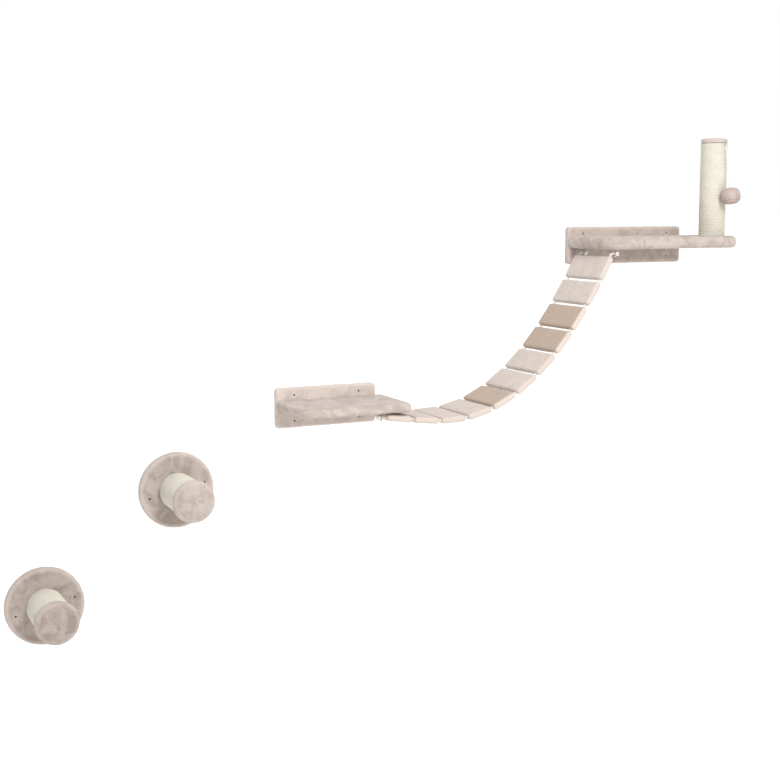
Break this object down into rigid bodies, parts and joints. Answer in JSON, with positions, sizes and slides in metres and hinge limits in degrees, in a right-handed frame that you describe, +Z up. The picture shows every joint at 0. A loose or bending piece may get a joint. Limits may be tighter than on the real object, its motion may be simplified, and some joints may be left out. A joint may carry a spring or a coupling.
{
  "type": "cat climbing wall",
  "caption": "Wall-mounted cat climbing set: round sisal steps, plush shelves joined by a sagging rope bridge of padded slats, and a scratching post with a hanging ball.",
  "frame": {"origin": "middle of the lower back board's wall-screw pattern, on the wall plane", "axes": "+X to the right along the wall, +Z up, +Y into the wall; the set stands out towards -Y"},
  "size_m": [2.1296, 0.2409, 1.3051],
  "materials": {
    "plush_light": "short mottled beige plush",
    "plush_tan": "short tan plush",
    "sisal": "cream sisal cord",
    "fibreboard": "bare medium-density fibreboard",
    "cardboard": "pressed cardboard tube",
    "zinc_steel": "zinc-plated steel",
    "bridge_rope": "twisted light cotton rope",
    "toy_cord": "thin light elastic cord",
    "toy_plush": "pinkish beige plush with a sewn seam"
  },
  "bodies": {
    "wall_set": {"lower_step_base_board": "fibreboard", "lower_step_base_plush": "plush_light", "lower_step_tube": "cardboard", "lower_step_sisal": "sisal", "lower_step_cap_board": "fibreboard", "lower_step_cap_plush": "plush_light", "upper_step_base_board": "fibreboard", "upper_step_base_plush": "plush_light", "upper_step_tube": "cardboard", "upper_step_sisal": "sisal", "upper_step_cap_board": "fibreboard", "upper_step_cap_plush": "plush_light", "step_tie_rods": "zinc_steel", "step_rod_nuts": "zinc_steel", "lower_back_board": "fibreboard", "lower_back_plush": "plush_light", "lower_shelf_board": "fibreboard", "lower_shelf_plush": "plush_light", "upper_back_board": "fibreboard", "upper_back_plush": "plush_light", "upper_shelf_board": "fibreboard", "upper_shelf_plush": "plush_light", "shelf_screws": "zinc_steel", "rope_eyes": "zinc_steel", "front_rope": "bridge_rope", "rear_rope": "bridge_rope", "post_tube": "cardboard", "post_sisal": "sisal", "post_cap_board": "fibreboard", "post_cap_plush": "plush_light", "post_rod": "zinc_steel", "post_nut": "zinc_steel", "toy_eye": "zinc_steel"},
    "slat_01": {"slat_01_board": "fibreboard", "slat_01_cover": "plush_light"},
    "slat_02": {"slat_02_board": "fibreboard", "slat_02_cover": "plush_light"},
    "slat_03": {"slat_03_board": "fibreboard", "slat_03_cover": "plush_tan"},
    "slat_04": {"slat_04_board": "fibreboard", "slat_04_cover": "plush_tan"},
    "slat_05": {"slat_05_board": "fibreboard", "slat_05_cover": "plush_light"},
    "slat_06": {"slat_06_board": "fibreboard", "slat_06_cover": "plush_light"},
    "slat_07": {"slat_07_board": "fibreboard", "slat_07_cover": "plush_tan"},
    "slat_08": {"slat_08_board": "fibreboard", "slat_08_cover": "plush_light"},
    "slat_09": {"slat_09_board": "fibreboard", "slat_09_cover": "plush_light"},
    "slat_10": {"slat_10_board": "fibreboard", "slat_10_cover": "plush_light"},
    "slat_11": {"slat_11_board": "fibreboard", "slat_11_cover": "plush_light"},
    "toy_link": {"toy_ring": "zinc_steel"},
    "toy": {"toy_cord": "toy_cord", "toy_ball": "toy_plush"}
  },
  "joints": [
    {"name": "bridge_bounce", "type": "hinge", "parent": "wall_set", "child": "slat_01", "pos_m": [0.8027, -0.121, 0.40177], "axis": [0, -1, 0], "range_deg": [-6, 6], "stiffness_Nm_per_rad": 6, "springref_deg": -7.98, "deforming": ["front_rope", "rear_rope"]},
    {"name": "slat_02_hinge", "type": "hinge", "parent": "slat_01", "child": "slat_02", "pos_m": [0.7627, -0.121, 0.32961], "axis": [0, -1, 0], "range_deg": [-2.21, 2.21], "stiffness_Nm_per_rad": 6, "springref_deg": -5.9},
    {"name": "slat_03_hinge", "type": "hinge", "parent": "slat_02", "child": "slat_03", "pos_m": [0.71862, -0.121, 0.25988], "axis": [0, -1, 0], "range_deg": [-3.55, 3.55], "stiffness_Nm_per_rad": 6, "springref_deg": -4.02},
    {"name": "slat_04_hinge", "type": "hinge", "parent": "slat_03", "child": "slat_04", "pos_m": [0.67071, -0.121, 0.19271], "axis": [0, -1, 0], "range_deg": [-3.21, 3.21], "stiffness_Nm_per_rad": 6, "springref_deg": -2.44},
    {"name": "slat_05_hinge", "type": "hinge", "parent": "slat_04", "child": "slat_05", "pos_m": [0.61713, -0.121, 0.12998], "axis": [0, -1, 0], "range_deg": [-1.67, 1.67], "stiffness_Nm_per_rad": 6, "springref_deg": -1.17},
    {"name": "slat_06_hinge", "type": "hinge", "parent": "slat_05", "child": "slat_06", "pos_m": [0.55709, -0.121, 0.0734], "axis": [0, -1, 0], "range_deg": [-0.4271, 0.4271], "stiffness_Nm_per_rad": 6, "springref_deg": -0.32},
    {"name": "slat_07_hinge", "type": "hinge", "parent": "slat_08", "child": "slat_07", "pos_m": [0.41618, -0.121, -0.01127], "axis": [0, -1, 0], "range_deg": [-2.69, 2.69], "stiffness_Nm_per_rad": 6, "springref_deg": 0.35},
    {"name": "slat_08_hinge", "type": "hinge", "parent": "slat_09", "child": "slat_08", "pos_m": [0.33613, -0.121, -0.03123], "axis": [0, -1, 0], "range_deg": [-1.62, 1.62], "stiffness_Nm_per_rad": 6, "springref_deg": 1.49},
    {"name": "slat_09_hinge", "type": "hinge", "parent": "slat_10", "child": "slat_09", "pos_m": [0.25367, -0.121, -0.03382], "axis": [0, -1, 0], "range_deg": [-0.3754, 0.3754], "stiffness_Nm_per_rad": 6, "springref_deg": 3.44},
    {"name": "slat_10_hinge", "type": "hinge", "parent": "slat_11", "child": "slat_10", "pos_m": [0.1717, -0.121, -0.02448], "axis": [0, -1, 0], "range_deg": [-1.52, 1.52], "stiffness_Nm_per_rad": 6, "springref_deg": 6.15},
    {"name": "slat_11_hinge", "type": "hinge", "parent": "wall_set", "child": "slat_11", "pos_m": [0.09, -0.121, -0.013], "axis": [0, -1, 0], "range_deg": [-0.4432, 0.4432], "stiffness_Nm_per_rad": 6, "springref_deg": 9.63},
    {"name": "toy_swing_sideways", "type": "hinge", "parent": "wall_set", "child": "toy_link", "pos_m": [1.21225, -0.18913, 0.72372], "axis": [0.1736, -0.9848, 0], "range_deg": [-60, 60]},
    {"name": "toy_swing_outwards", "type": "hinge", "parent": "toy_link", "child": "toy", "pos_m": [1.21225, -0.18913, 0.71872], "axis": [-0.9848, -0.1736, 0], "range_deg": [0, 75]}
  ],
  "couplings": [
    {"joint": "slat_02_hinge", "follows": "bridge_bounce", "ratio": -0.3648},
    {"joint": "slat_03_hinge", "follows": "bridge_bounce", "ratio": -0.58818},
    {"joint": "slat_04_hinge", "follows": "bridge_bounce", "ratio": -0.53197},
    {"joint": "slat_05_hinge", "follows": "bridge_bounce", "ratio": -0.27575},
    {"joint": "slat_06_hinge", "follows": "bridge_bounce", "ratio": 0.06785},
    {"joint": "slat_07_hinge", "follows": "bridge_bounce", "ratio": -0.44555},
    {"joint": "slat_08_hinge", "follows": "bridge_bounce", "ratio": -0.26634},
    {"joint": "slat_09_hinge", "follows": "bridge_bounce", "ratio": 0.05923},
    {"joint": "slat_10_hinge", "follows": "bridge_bounce", "ratio": 0.24964},
    {"joint": "slat_11_hinge", "follows": "bridge_bounce", "ratio": 0.07053}
  ]
}
